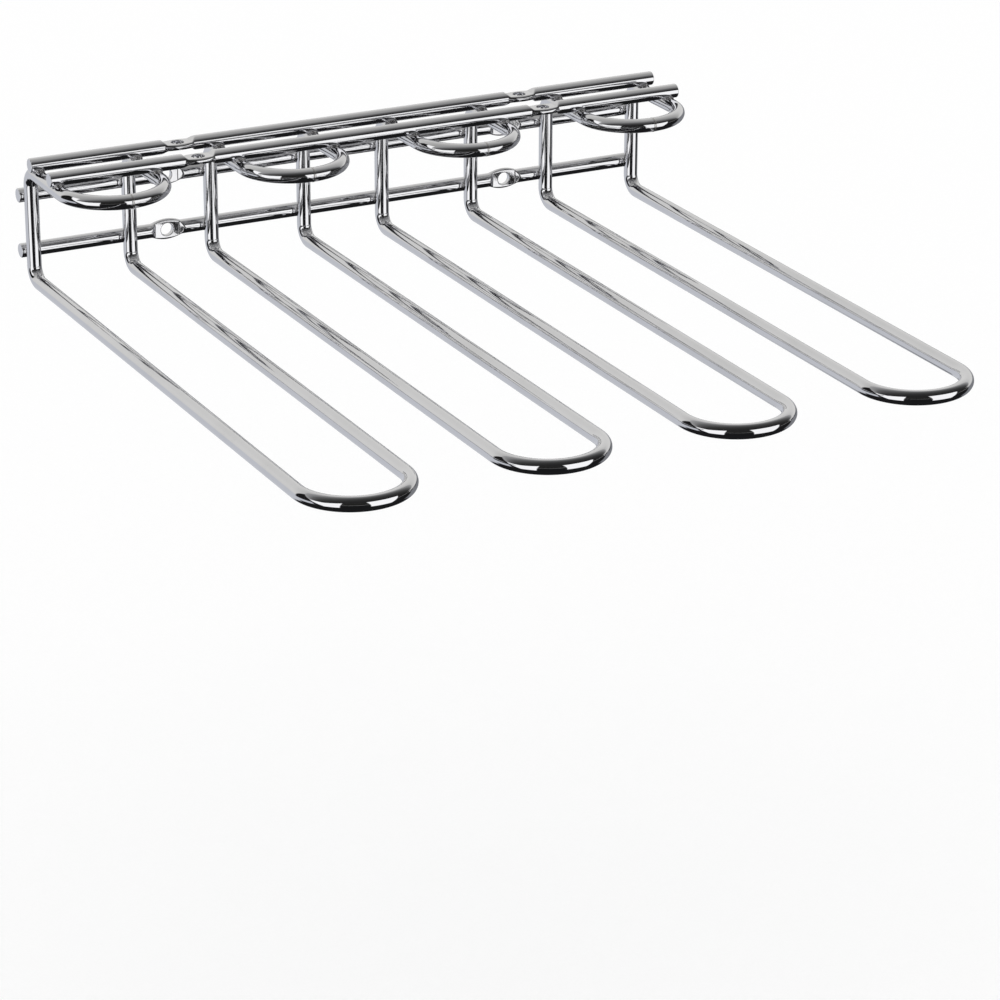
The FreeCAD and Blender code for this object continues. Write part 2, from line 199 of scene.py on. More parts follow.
def grid_quads(rows, columns, wrap_rows=False):
    """Quads of a grid whose points are numbered row by row and whose last column joins on to its
    first; wrapped rows join last to first too."""
    row = np.arange(rows if wrap_rows else rows - 1)
    i, j = np.meshgrid(row, np.arange(columns), indexing="ij")
    next_i, next_j = (i + 1) % rows, (j + 1) % columns
    corners = (i * columns + j, i * columns + next_j,
               next_i * columns + next_j, next_i * columns + j)
    return np.stack(corners, -1).reshape(-1, 4)


def joined(parts):
    """Several (points, faces, fields) surfaces as one, with the faces renumbered."""
    starts = np.cumsum([0] + [len(points) for points, _, _ in parts])
    points = np.concatenate([part[0] for part in parts])
    faces = [f + start for part, start in zip(parts, starts) for f in part[1]]
    fields = {key: np.concatenate([part[2][key] for part in parts]) for key in parts[0][2]}
    return points, faces, fields


def make_piece(name, surface, material, nodes):
    """Puts a surface into a smooth mesh object that stands for CAD nodes and rides on the root."""
    points, faces, fields = surface
    mesh = bpy.data.meshes.new(name)
    mesh.from_pydata(points.tolist(), [], [q for block in faces for q in block.tolist()])
    for key, values in fields.items():
        kind, item = ("FLOAT_VECTOR", "vector") if values.ndim == 2 else ("FLOAT", "value")
        attribute = mesh.attributes.new(key, kind, "POINT")
        attribute.data.foreach_set(item, values.astype(np.float32).ravel())
    mesh.polygons.foreach_set("use_smooth", np.ones(len(mesh.polygons), bool))
    mesh.materials.append(material)
    mesh.update()
    piece = bpy.data.objects.new(name, mesh)
    bpy.context.scene.collection.objects.link(piece)
    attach(piece, "root")
    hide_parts(*nodes)
    return piece


def turned(vector, axis, angle):
    """A vector turned about a unit axis: what lies along the axis stays, and the rest goes round
    by the cosine of the angle along itself and the sine along its cross product."""
    along = (vector @ axis) * axis
    flat = vector - along
    return (along + np.cos(angle)[:, None] * flat
            + np.sin(angle)[:, None] * np.cross(axis, flat))


def walk(start, heading, upright, runs):
    """Centre line of a bent wire.  A straight run adds heading times length.  A bend of radius r
    about an axis adds r times (heading times sine plus side times (1 - cosine)), with side the
    cross product of axis and heading; heading and upright turn with it.
    Gives points, headings, uprights and lengths, with no repeated points."""
    found = [[], [], [], []]
    here, gone = np.array(start, float), 0.0
    for length, radius, axis, step in runs:
        count = max(int(round(length / step)), 2)
        along = np.arange(count + 1) / count * length
        if axis is None:
            places = here + along[:, None] * heading
            headings = np.tile(heading, (count + 1, 1))
            uprights = np.tile(upright, (count + 1, 1))
        else:
            angle = along / radius
            side = np.cross(axis, heading)
            places = here + radius * (np.sin(angle)[:, None] * heading
                                      + (1 - np.cos(angle))[:, None] * side)
            headings = turned(heading, axis, angle)
            uprights = turned(upright, axis, angle)
        for block, values in zip(found, (places, headings, uprights, gone + along)):
            block.append(values[:-1])
        here, heading, upright = places[-1], headings[-1], uprights[-1]
        gone += length
    return [np.concatenate(block) for block in found]


def tube(points, headings, uprights, radius, around):
    """Round wire: centre line point plus radius times (side times cosine plus upright times sine)
    of the angle round the wire, with side the cross product of upright and heading."""
    angle = np.arange(around) / around * 2 * math.pi
    sides = np.cross(uprights, headings)
    offset = (sides[:, None] * np.cos(angle)[None, :, None]
              + uprights[:, None] * np.sin(angle)[None, :, None])
    return points[:, None] + np.asarray(radius).reshape(-1, 1, 1) * offset, angle


def wire_field(lengths, angle):
    """Coordinates that follow the wire: its radius times cosine and sine round it, and length."""
    s, a = np.broadcast_arrays(lengths[:, None], angle[None])
    return np.stack([WIRE_RADIUS * np.cos(a), WIRE_RADIUS * np.sin(a), s], -1).reshape(-1, 3)


def crossings():
    """For each rail and loop: the two (middle of the contact, leg's direction, normal to rail)."""
    found = {}
    for rail in RAILS:
        top = rail.startswith("top")
        along_leg, normal = (Y, Z) if top else (Z, Y)
        rail_middle = middle(rail)
        for finger in FINGERS:
            x = middle("finger_loop_%d" % finger)[0]
            spots = []
            for side in (-1, 1):
                spot = rail_middle - normal * WELDED_GAP / 2
                spot[0] = x + side * LEG_X
                spots.append((spot, along_leg, normal))
            found[rail, finger] = spots
    return found


def weld_field(points, spots):
    """1 at the nearest crossing, falling off as a bell with distance: exp of -(distance / spread)
    squared."""
    spots = np.array([spot for spot, _, _ in spots])
    gap = np.linalg.norm(points[:, None] - spots[None], axis=-1).min(1)
    return np.exp(-(gap / WELD_SPREAD) ** 2)


def loop_surface(finger, sizes):
    """A closed loop of wire, walked from the seam at the upper crown: quarter arc, upper leg,
    bend, drop, bend, lower leg, half circle at the front, and the same back on the left."""
    bend = sizes.bend_radius
    upper_leg = DROP_Y - bend - (UPPER_CROWN_Y + LEG_X)
    lower_leg = DROP_Y - bend - (LOWER_CROWN_Y + LEG_X)
    drop = UPPER_Z - LOWER_Z - 2 * bend
    quarter, small = math.pi / 2 * LEG_X, math.pi / 2 * bend
    side = [(upper_leg, None, None, 2 * MM), (small, bend, -X, 0.3 * MM),
            (drop, None, None, 2 * MM), (small, bend, -X, 0.3 * MM),
            (lower_leg, None, None, 4 * MM)]
    back = [(length, radius, None if axis is None else X, step)
            for length, radius, axis, step in side[::-1]]
    arc = (quarter, LEG_X, Z, 0.6 * MM)
    runs = [arc, *side, (2 * quarter, LEG_X, -Z, 0.6 * MM), *back, arc]
    x = middle("finger_loop_%d" % finger)[0]
    points, headings, uprights, lengths = walk((x, UPPER_CROWN_Y, UPPER_Z), X, Z, runs)
    surface, angle = tube(points, headings, uprights, WIRE_RADIUS, WIRE_COLUMNS)
    rows, columns = surface.shape[:2]
    surface = surface.reshape(-1, 3)
    spots = [spot for rail in RAILS for spot in crossings()[rail, finger]]
    fields = {"wire_coord": wire_field(lengths, angle), "near_weld": weld_field(surface, spots),
              "pressed": np.zeros(len(surface))}
    return surface, [grid_quads(rows, columns, wrap_rows=True)], fields


def soft_least(value, limit, power=14):
    """The lesser of two sizes with a rounded corner: value over (1 + (value / limit) to the
    power) to the 1 / power."""
    return value / (1 + (np.abs(value) / limit) ** power) ** (1 / power)


def rail_section(x, angle, sizes):
    """Half sections of a rail at x.  Away from the tabs a circle.  At a tab an ellipse that has
    spread to the tab's width, cut off softly by the press at half the tab's thickness, which
    opens along the ramps.  Gives the distance across and the height of each point."""
    off = np.abs(np.abs(x) - WALL_TAB_X)
    half = sizes.tab_flat / 2
    reach = half + sizes.tab_ramp
    sag = sizes.tab_width / 2 - TAB_ROOT
    arc_radius = (reach ** 2 + sag ** 2) / (2 * sag)
    inside = np.sqrt(np.maximum(arc_radius ** 2 - off ** 2, 0))
    eye = sizes.tab_width / 2 - arc_radius + inside
    eye = np.where(off < 2 * reach, eye, 0)
    both, apart = eye + WIRE_RADIUS, eye - WIRE_RADIUS
    across = (both + np.sqrt(apart ** 2 + (0.12 * MM) ** 2)) / 2
    spread = np.clip((across - WIRE_RADIUS) / (sizes.tab_width / 2 - WIRE_RADIUS), 0, 1)
    tall = WIRE_RADIUS - spread * 0.65 * MM
    slope = (WIRE_RADIUS - sizes.tab_thickness / 2) / sizes.tab_ramp
    press = sizes.tab_thickness / 2 + np.maximum(off - half, 0) * slope
    press = np.where(off > 2 * reach, 1.0, press)
    wide = across[:, None] * np.cos(angle)[None]
    high = soft_least(tall[:, None] * np.sin(angle)[None], press[:, None])
    return wide, high, np.clip(1 - np.maximum(off - half, 0) / sizes.tab_ramp, 0, 1)


def rail_rows(sizes):
    """Where the rail's rows stand and how wide each is: fine at the tabs, rounded cut ends."""
    reach = sizes.tab_flat / 2 + sizes.tab_ramp
    half_fine = reach + 2.5 * MM
    edge = sizes.end_edge
    tab = WALL_TAB_X + np.linspace(-half_fine, half_fine, 81)
    inner = np.linspace(-tab[0], tab[0], 61)[1:-1]
    outer = np.linspace(tab[-1], RAIL_HALF_LENGTH - edge, 24)[1:]
    turn = np.linspace(0, math.pi / 2, 8)[1:]
    round_x = RAIL_HALF_LENGTH - edge + edge * np.sin(turn)
    round_size = 1 - edge / WIRE_RADIUS * (1 - np.cos(turn))
    flat_size = round_size[-1] * np.array([0.8, 0.55, 0.3, 0.12])
    right = np.concatenate([tab, outer, round_x, np.full(4, RAIL_HALF_LENGTH)])
    size = np.concatenate([np.ones(len(tab) + len(outer)), round_size, flat_size])
    x = np.concatenate([-right[::-1], inner, right])
    return x, np.concatenate([size[::-1], np.ones(len(inner)), size])


def punched_hole(grid, rows, columns, tab_x, sizes):
    """A screw hole through a block of the grid.  Rings go from the block's border to a circle,
    by straight mixing, over a rounded rim of quarter circle section, down the hole's wall, and
    out again underneath.  Gives the new points, numbered on from the grid's, and the faces."""
    across = grid.shape[1]
    top, low = rows
    left, right = columns
    i = np.arange(top, low + 1)
    j = np.arange(left, right + 1)
    border = np.concatenate([
        np.stack([i[:-1], np.full(len(i) - 1, left)], 1),
        np.stack([np.full(len(j) - 1, low), j[:-1]], 1),
        np.stack([i[:0:-1], np.full(len(i) - 1, right)], 1),
        np.stack([np.full(len(j) - 1, top), j[:0:-1]], 1)])
    upper = border[:, 0] * across + border[:, 1]
    lower = border[:, 0] * across + (across - border[:, 1]) % across
    edge = grid.reshape(-1, 3)[upper]
    rim = HOLE_RIM
    half = sizes.tab_thickness / 2
    bearing = np.arctan2(edge[:, 1], edge[:, 0] - tab_x)
    ring = np.stack([np.cos(bearing), np.sin(bearing)], 1)
    outer = np.array([tab_x, 0]) + (HOLE_RADIUS + rim) * ring
    share = np.linspace(0, 1, 6)[1:, None, None]
    flat = edge[None, :, :2] * (1 - share) + outer[None] * share
    flat_z = edge[None, :, 2:] * (1 - share) + half * share
    turn = np.linspace(0, math.pi / 2, 6)[1:]
    size = HOLE_RADIUS + rim * (1 - np.sin(turn))
    curve = np.array([tab_x, 0]) + size[:, None, None] * ring[None]
    curve_z = np.broadcast_to((half - rim * (1 - np.cos(turn)))[:, None, None],
                              (len(turn), len(ring), 1))
    down = np.concatenate([np.concatenate([flat, flat_z], 2),
                           np.concatenate([curve, curve_z], 2)])
    wall = down[-1:] * np.array([1, 1, 0])
    rings = np.concatenate([down, wall, down[::-1] * np.array([1, 1, -1])])
    start = grid.shape[0] * across
    numbers = np.arange(len(rings) * len(border)).reshape(len(rings), -1) + start
    numbers = np.concatenate([upper[None], numbers, lower[None]])
    nxt = np.roll(numbers, -1, axis=1)
    quads = np.stack([numbers[:-1], nxt[:-1], nxt[1:], numbers[1:]], -1)
    return rings.reshape(-1, 3), quads.reshape(-1, 4)[:, ::-1]


def rail_surface(rail, sizes):
    """A straight bar along X: its sections, two punched tabs and closed ends, turned so that the
    tabs face up on a top rail and face the wall on a back rail."""
    x, size = rail_rows(sizes)
    around = RAIL_COLUMNS
    angle = np.arange(around) / around * 2 * math.pi
    wide, high, pressed = rail_section(x, angle, sizes)
    grid = np.stack([np.broadcast_to(x[:, None], wide.shape), wide * size[:, None],
                     high * size[:, None]], -1)
    quads = grid_quads(len(x), around)
    points = [grid.reshape(-1, 3)]
    kept = np.ones(len(quads), bool)
    row, column = np.divmod(np.arange(len(quads)), around)
    holes, body = [], len(x) * around
    count = body
    for tab_x in (-WALL_TAB_X, WALL_TAB_X):
        near = np.flatnonzero(np.abs(x - tab_x) <= HOLE_BLOCK)
        rows = (near[0], near[-1])
        in_rows = (row >= rows[0]) & (row < rows[1])
        left, right = HOLE_COLUMNS
        for first, last in ((left, right), (around - right, around - left)):
            kept &= ~(in_rows & (column >= first) & (column < last))
        ring, faces = punched_hole(grid, rows, HOLE_COLUMNS, tab_x, sizes)
        faces = faces + (faces >= body) * (count - body)
        points.append(ring)
        holes.append(faces)
        count += len(ring)
    poles = np.array([[-RAIL_HALF_LENGTH, 0, 0], [RAIL_HALF_LENGTH, 0, 0]])
    points = np.concatenate(points + [poles])
    first = np.arange(around)
    second = (first + 1) % around
    last_row = body - around
    fans = [np.stack([np.full(around, count), second, first], 1),
            np.stack([np.full(around, count + 1), last_row + first, last_row + second], 1)]
    tabs = np.zeros(len(points))
    tabs[:body] = np.repeat(pressed, around)
    tabs[body:-2] = 1
    turn = np.arctan2(points[:, 2], points[:, 1])
    field = np.stack([WIRE_RADIUS * np.cos(turn), WIRE_RADIUS * np.sin(turn), points[:, 0]], 1)
    if rail.startswith("back"):
        points = np.stack([points[:, 0], points[:, 2], -points[:, 1]], 1)
    points = points + middle(rail) * np.array([0, 1, 1])
    spots = [spot for finger in FINGERS for spot in crossings()[rail, finger]]
    fields = {"wire_coord": field, "near_weld": weld_field(points, spots), "pressed": tabs}
    return points, [quads[kept], *holes, *fans], fields


def weld_surface(spot, along_leg, normal, sizes, seed):
    """The bead squeezed out round one crossing, a closed ring.  At each angle round the contact
    its outside runs from the leg's surface to the rail's, reach plus bulge times the sine of the
    way up, and its inside returns through the metal.  A few slow waves make it uneven."""
    rng = np.random.default_rng(seed)
    round_it = np.arange(72) / 72 * 2 * math.pi
    wave = sum(rng.uniform(0.02, 0.09) * MM * np.cos(k * round_it + rng.uniform(0, 6.28))
               for k in (1, 2, 3, 5, 7))
    up = np.linspace(0, 1, 14)
    inner = np.linspace(1, 0, 5)[1:-1]
    level = np.concatenate([up, inner])
    outside = np.concatenate([np.ones(len(up)), np.zeros(len(inner))])
    swell = np.concatenate([np.sin(math.pi * up) ** 0.8, np.zeros(len(inner))])
    reach = (sizes.weld_reach + wave)[:, None] * outside + WELD_CORE * (1 - outside)
    reach = reach + sizes.weld_bulge * swell
    u = reach * np.cos(round_it)[:, None]
    v = reach * np.sin(round_it)[:, None]
    leg_top = -WELDED_GAP / 2 + np.sqrt(WIRE_RADIUS ** 2 - u ** 2) - WELD_SUNK
    rail_foot = WELDED_GAP / 2 - np.sqrt(WIRE_RADIUS ** 2 - v ** 2) + WELD_SUNK
    w = leg_top * (1 - level) + rail_foot * level
    points = spot + u[..., None] * X + v[..., None] * along_leg + w[..., None] * normal
    quads = grid_quads(*u.shape, wrap_rows=True)
    if np.cross(X, along_leg) @ normal > 0:
        quads = quads[:, ::-1]
    points = points.reshape(-1, 3)
    fields = {"near_weld": np.ones(len(points)), "pressed": np.zeros(len(points)),
              "wire_coord": points - spot}
    return points, [quads], fields


def seam_surface(finger, sizes):
    """The flash ring at the upper crown: a short band along the arc, its radius the wire's plus
    the height times the root of the cosine across the band, closed through the metal."""
    rng = np.random.default_rng(40 + finger)
    half = sizes.seam_width / 2
    outer = np.linspace(-1, 1, 17)
    inner = np.linspace(1, -1, 6)[1:-1]
    along = np.concatenate([outer, inner]) * half
    proud = sizes.seam_proud * np.cos(outer * math.pi / 2) ** 0.6 - 0.03 * MM
    rise = np.concatenate([proud, np.full(len(inner), -0.5 * MM)])
    bearing = along / LEG_X
    x = middle("finger_loop_%d" % finger)[0]
    points = np.stack([x + LEG_X * np.sin(bearing),
                       UPPER_CROWN_Y + LEG_X * (1 - np.cos(bearing)),
                       np.full(len(along), UPPER_Z)], 1)
    headings = np.stack([np.cos(bearing), np.sin(bearing), 0 * bearing], 1)
    uprights = np.tile(Z, (len(along), 1))
    surface, angle = tube(points, headings, uprights, WIRE_RADIUS + rise, WIRE_COLUMNS)
    wobble = 1 + sum(rng.uniform(-0.12, 0.12) * np.cos(k * angle + rng.uniform(0, 6.28))
                     for k in (2, 3, 5))
    shift = surface - points[:, None]
    shift = shift * (1 + (wobble - 1)[None, :, None] * (np.maximum(rise, 0)
                                                        / WIRE_RADIUS)[:, None, None])
    surface = (points[:, None] + shift).reshape(-1, 3)
    quads = grid_quads(len(along), WIRE_COLUMNS, wrap_rows=True)
    fields = {"wire_coord": wire_field(along, angle), "near_weld": np.full(len(surface), 0.6),
              "pressed": np.zeros(len(surface))}
    return surface, [quads], fields


# --------------------------------------------------------------- materials

class Nodes:
    """A node tree with short calls for adding nodes, links and sums."""

    def __init__(self, tree):
        self.tree = tree

    def add(self, kind, inputs=None, **settings):
        node = self.tree.nodes.new(kind)
        for key, value in settings.items():
            setattr(node, key, value)
        for key, value in (inputs or {}).items():
            if isinstance(value, bpy.types.NodeSocket):
                self.tree.links.new(value, node.inputs[key])
            else:
                node.inputs[key].default_value = value
        return node

    def math(self, operation, first, second=0.0, third=0.0, clamp=False):
        inputs = {0: first, 1: second, 2: third}
        return self.add("ShaderNodeMath", inputs, operation=operation, use_clamp=clamp).outputs[0]

    def span(self, value, low, high, to_low=0.0, to_high=1.0, smooth=True):
        inputs = {"Value": value, "From Min": low, "From Max": high,
                  "To Min": to_low, "To Max": to_high}
        return self.add("ShaderNodeMapRange", inputs, clamp=True,
                        interpolation_type="SMOOTHSTEP" if smooth else "LINEAR").outputs[0]

    def noise(self, vector, scale, detail=3.0, roughness=0.5):
        inputs = {"Vector": vector, "Scale": scale, "Detail": detail, "Roughness": roughness}
        return self.add("ShaderNodeTexNoise", inputs).outputs["Fac"]

    def ramp(self, value, stops):
        """A colour ramp through (place from 0 to 1, colour) stops."""
        node = self.add("ShaderNodeValToRGB", {"Fac": value})
        elements = node.color_ramp.elements
        while len(elements) < len(stops):
            elements.new(0.5)
        for element, (spot, colour) in zip(elements, stops):
            element.position = spot
            element.color = (*colour, 1)
        return node.outputs["Color"]

    def stretched(self, vector, scale):
        return self.add("ShaderNodeMapping", {"Vector": vector, "Scale": scale}).outputs[0]


def mixed(nodes, share, first, second):
    """Mixes two colours, each a socket or four numbers; a share of 1 is all second."""
    node = nodes.add("ShaderNodeMix", {"Factor": share}, data_type="RGBA")
    for socket, colour in zip([s for s in node.inputs if s.type == "RGBA"], (first, second)):
        if isinstance(colour, bpy.types.NodeSocket):
            nodes.tree.links.new(colour, socket)
        else:
            socket.default_value = colour
    return next(s for s in node.outputs if s.type == "RGBA")


def new_group(name, inputs, outputs):
    """An empty shader node group with named sockets; gives its nodes, its input and output."""
    tree = bpy.data.node_groups.new(name, "ShaderNodeTree")
    for label, kind, value in inputs:
        socket = tree.interface.new_socket(label, in_out="INPUT", socket_type=kind)
        if value is not None:
            socket.default_value = value
    for label, kind in outputs:
        tree.interface.new_socket(label, in_out="OUTPUT", socket_type=kind)
    nodes = Nodes(tree)
    return nodes, nodes.add("NodeGroupInput").outputs, nodes.add("NodeGroupOutput")


def drawn_wire_group():
    """Fine lines left by the die, along the wire, that the plate has nearly filled, and the
    faint ripple of the plate itself.  Puts out a height and a mask of the deeper lines."""
    nodes, given, out = new_group(
        "drawn_wire",
        [("Along Wire", "NodeSocketVector", None), ("Place", "NodeSocketVector", None),
         ("Lines", "NodeSocketFloat", 1.0), ("Ripple", "NodeSocketFloat", 1.0)],
        [("Height", "NodeSocketFloat"), ("Line Mask", "NodeSocketFloat")])
    fine = nodes.noise(nodes.stretched(given["Along Wire"], (2600, 2600, 22)), 1.0, 2.0)
    coarse = nodes.noise(nodes.stretched(given["Along Wire"], (900, 900, 9)), 1.0, 2.0)
    ripple = nodes.noise(given["Place"], 420.0, 2.0, 0.4)
    lines = nodes.math("MULTIPLY_ADD", fine, 0.6, nodes.math("MULTIPLY", coarse, 0.4))
    height = nodes.math("MULTIPLY", lines, given["Lines"])
    height = nodes.math("MULTIPLY_ADD", ripple, given["Ripple"], height)
    nodes.tree.links.new(height, out.inputs["Height"])
    nodes.tree.links.new(nodes.span(coarse, 0.58, 0.72), out.inputs["Line Mask"])
    return nodes.tree


def handling_group():
    """Cloudy haze from handling, and small wipe marks.  Puts out a haze and a wipe mask."""
    nodes, given, out = new_group(
        "handling_haze",
        [("Place", "NodeSocketVector", None), ("Scale", "NodeSocketFloat", 1.0)],
        [("Haze", "NodeSocketFloat"), ("Wipe", "NodeSocketFloat")])
    place = nodes.add("ShaderNodeVectorMath", {0: given["Place"], "Scale": given["Scale"]},
                      operation="SCALE").outputs[0]
    cloud = nodes.noise(place, 38.0, 4.0, 0.55)
    slanted = nodes.add("ShaderNodeMapping", {
        "Vector": place, "Rotation": (0.4, 0.2, 0.9), "Scale": (900, 60, 300)}).outputs[0]
    marks = nodes.noise(slanted, 1.0, 3.0, 0.6)
    patch = nodes.span(nodes.noise(place, 22.0, 1.0), 0.5, 0.66)
    wipe = nodes.math("MULTIPLY", nodes.span(marks, 0.60, 0.72), patch)
    nodes.tree.links.new(nodes.span(cloud, 0.42, 0.72), out.inputs["Haze"])
    nodes.tree.links.new(wipe, out.inputs["Wipe"])
    return nodes.tree


def weld_skin_group():
    """Grain and pits of plate over weld metal or over a pressed face."""
    nodes, given, out = new_group(
        "rough_skin",
        [("Place", "NodeSocketVector", None), ("Near Weld", "NodeSocketFloat", 0.0),
         ("Pressed", "NodeSocketFloat", 0.0)],
        [("Height", "NodeSocketFloat"), ("Pits", "NodeSocketFloat"),
         ("Roughened", "NodeSocketFloat")])
    grain = nodes.noise(given["Place"], 1500.0, 3.0, 0.6)
    cells = nodes.add("ShaderNodeTexVoronoi", {"Vector": given["Place"], "Scale": 1100.0})
    pits = nodes.span(cells.outputs["Distance"], 0.10, 0.22, 1.0, 0.0)
    hot = nodes.span(given["Near Weld"], 0.35, 0.95)
    pits = nodes.math("MULTIPLY", pits, hot)
    pressed = nodes.math("MULTIPLY", given["Pressed"], 0.35)
    rough = nodes.math("MAXIMUM", hot, pressed)
    height = nodes.math("MULTIPLY", grain, rough)
    height = nodes.math("SUBTRACT", height, nodes.math("MULTIPLY", pits, 0.8))
    nodes.tree.links.new(height, out.inputs["Height"])
    nodes.tree.links.new(pits, out.inputs["Pits"])
    nodes.tree.links.new(rough, out.inputs["Roughened"])
    return nodes.tree


def shared_group(name, make):
    return bpy.data.node_groups.get(name) or make()


def plate_material(name, colour, dull, roughness, rough_top, grain, lines):
    """Bright plate: colour, roughness and bump vary with haze, wipes, drawing lines and grain."""
    material = bpy.data.materials.get(name)
    if material:
        return material
    material = bpy.data.materials.new(name)
    material.use_nodes = True
    nodes = Nodes(material.node_tree)
    shader = material.node_tree.nodes["Principled BSDF"]
    place = nodes.add("ShaderNodeTexCoord").outputs["Object"]
    wire = nodes.add("ShaderNodeAttribute", attribute_name="wire_coord").outputs["Vector"]
    near = nodes.add("ShaderNodeAttribute", attribute_name="near_weld").outputs["Fac"]
    pressed = nodes.add("ShaderNodeAttribute", attribute_name="pressed").outputs["Fac"]
    drawn = nodes.add("ShaderNodeGroup",
                      node_tree=shared_group("drawn_wire", drawn_wire_group))
    haze = nodes.add("ShaderNodeGroup",
                     node_tree=shared_group("handling_haze", handling_group))
    skin = nodes.add("ShaderNodeGroup", node_tree=shared_group("rough_skin", weld_skin_group))
    link = material.node_tree.links.new
    link(wire, drawn.inputs["Along Wire"])
    for group in (drawn, haze, skin):
        link(place, group.inputs["Place"])
    link(near, skin.inputs["Near Weld"])
    link(pressed, skin.inputs["Pressed"])
    drawn.inputs["Lines"].default_value = lines
    drawn.inputs["Ripple"].default_value = 0.25
    dim = nodes.math("MULTIPLY_ADD", haze.outputs["Haze"], 0.30,
                     nodes.math("MULTIPLY", skin.outputs["Roughened"], 0.40))
    dim = nodes.math("MULTIPLY_ADD", skin.outputs["Pits"], 0.3, dim, clamp=True)
    link(mixed(nodes, dim, (*colour, 1), (*dull, 1)), shader.inputs["Base Color"])
    rough = nodes.math("MULTIPLY_ADD", haze.outputs["Haze"], 0.030, roughness)
    rough = nodes.math("MULTIPLY_ADD", haze.outputs["Wipe"], 0.05, rough)
    rough = nodes.math("MULTIPLY_ADD", drawn.outputs["Line Mask"], 0.02, rough)
    rough = nodes.math("MULTIPLY_ADD", skin.outputs["Roughened"], rough_top, rough, clamp=True)
    link(rough, shader.inputs["Roughness"])
    low = nodes.add("ShaderNodeBump", {"Height": drawn.outputs["Height"], "Strength": 0.018,
                                       "Distance": 0.0004})
    high = nodes.add("ShaderNodeBump", {"Height": skin.outputs["Height"], "Strength": grain,
                                        "Distance": 0.0003, "Normal": low.outputs[0]})
    link(high.outputs[0], shader.inputs["Normal"])
    shader.inputs["Metallic"].default_value = 1.0
    return material


def wire_material():
    finish = bpy.context.scene.rack_finish
    colour = tuple(finish.plate_colour)
    return plate_material("chrome_on_wire", colour, (0.68, 0.68, 0.69),
                          finish.gloss_roughness, 0.07, 0.12, 1.0)


def weld_material():
    finish = bpy.context.scene.rack_finish
    colour = tuple(finish.weld_colour)
    return plate_material("chrome_on_weld", colour, (0.50, 0.49, 0.48),
                          finish.weld_roughness, 0.10, 0.45, 0.2)


# ------------------------------------------------------------------ studio

def studio_world(studio):
    """What the plate mirrors: a pale room behind, a dark one in front with two softboxes.
    Bearing is 0 straight out from the wall and grows towards +X; height is above the horizon.
    The lens and the floor see even paper instead."""
    world = bpy.data.worlds.new("studio")
    world.use_nodes = True
    tree = world.node_tree
    tree.nodes.clear()
    nodes = Nodes(tree)
    way = nodes.add("ShaderNodeTexCoord").outputs["Generated"]
    parts = nodes.add("ShaderNodeSeparateXYZ", {0: way}).outputs
    east, deep, up = parts["X"], parts["Y"], parts["Z"]
    degree = 180 / math.pi
    out = nodes.math("MULTIPLY", deep, -1.0)
    bearing = nodes.math("MULTIPLY", nodes.math("ARCTAN2", east, out), degree)
    height = nodes.math("MULTIPLY", nodes.math("ARCSINE", up), degree)
    over = nodes.math("MULTIPLY", nodes.math("ARCTAN2", up, deep), degree)

    # Above the horizon the room is set by the angle over the top, from the back (0) past the
    # zenith (90) to the front (180).
    stops = [(0, 0.72), (20, 0.74), (37, 0.69), (62, 0.51), (83, 0.40), (102, 0.27),
             (118, 0.12), (135, 0.03), (180, 0.012)]
    ceiling = nodes.ramp(nodes.span(over, 0, 180, smooth=False),
                         [(angle / 180, (light, light * 0.995, light * 0.97))
                          for angle, light in stops])

    # Below it the back and the sides are pale down to a dark foot, and dimmer on the right.
    round_back = nodes.span(nodes.math("ABSOLUTE", bearing), 90, 97)
    above_foot = nodes.span(height, -41, -35)
    dim = nodes.span(east, 0.20, 0.50, 1.0, 0.36)
    pale = nodes.math("MULTIPLY", nodes.math("MULTIPLY", round_back, above_foot), dim)
    pale = nodes.math("MULTIPLY_ADD", pale, 0.62, 0.012)
    low_room = nodes.add("ShaderNodeCombineColor", {
        0: nodes.math("MULTIPLY", pale, 0.96), 1: nodes.math("MULTIPLY", pale, 0.985),
        2: nodes.math("MULTIPLY", pale, 1.05)}).outputs[0]
    room = mixed(nodes, nodes.span(height, -4, 4), low_room, ceiling)

    # A dark screen stands to the left, behind the left softbox, with a pale slot in it at the
    # height that the upright drops mirror.
    screen = nodes.math("MULTIPLY", nodes.span(bearing, -132, -128),
                        nodes.span(bearing, -90, -94))
    slot = nodes.math("MAXIMUM", nodes.span(height, -13, -9), nodes.span(height, -27, -30))
    screen = nodes.math("MULTIPLY", screen, slot)
    screen = nodes.math("MULTIPLY", screen, nodes.span(height, 44, 38))
    room = mixed(nodes, screen, room, (0.012, 0.012, 0.012, 1))

    def box(left, right, low, high, lean_left, lean_right):
        """A softbox's mask; its upright edges lean with height, and all edges are soft."""
        start = nodes.math("MULTIPLY_ADD", height, lean_left, left)
        end = nodes.math("MULTIPLY_ADD", height, lean_right, right)
        past = nodes.span(nodes.math("SUBTRACT", bearing, start), -1.0, 1.0)
        before = nodes.span(nodes.math("SUBTRACT", end, bearing), -1.0, 1.0)
        above = nodes.span(height, low - 2, low + 2)
        below = nodes.span(height, high + 3, high - 3)
        return nodes.math("MULTIPLY", nodes.math("MULTIPLY", past, before),
                          nodes.math("MULTIPLY", above, below))

    left_box = box(-92.4, -43, -32, 40, -0.56, 0.08)
    right_box = box(6.5, 57, -29, 33, -0.12, 0.23)
    boxes = nodes.math("MAXIMUM", left_box, right_box)
    mirrored = mixed(nodes, boxes, room, (*(studio.softbox_light,) * 3, 1))
    glossy = nodes.add("ShaderNodeLightPath").outputs["Is Glossy Ray"]
    final = mixed(nodes, glossy, (*studio.paper, 1), mirrored)
    back = nodes.add("ShaderNodeBackground", {"Color": final, "Strength": 1.0})
    nodes.add("ShaderNodeOutputWorld", {"Surface": back.outputs[0]})
    return world


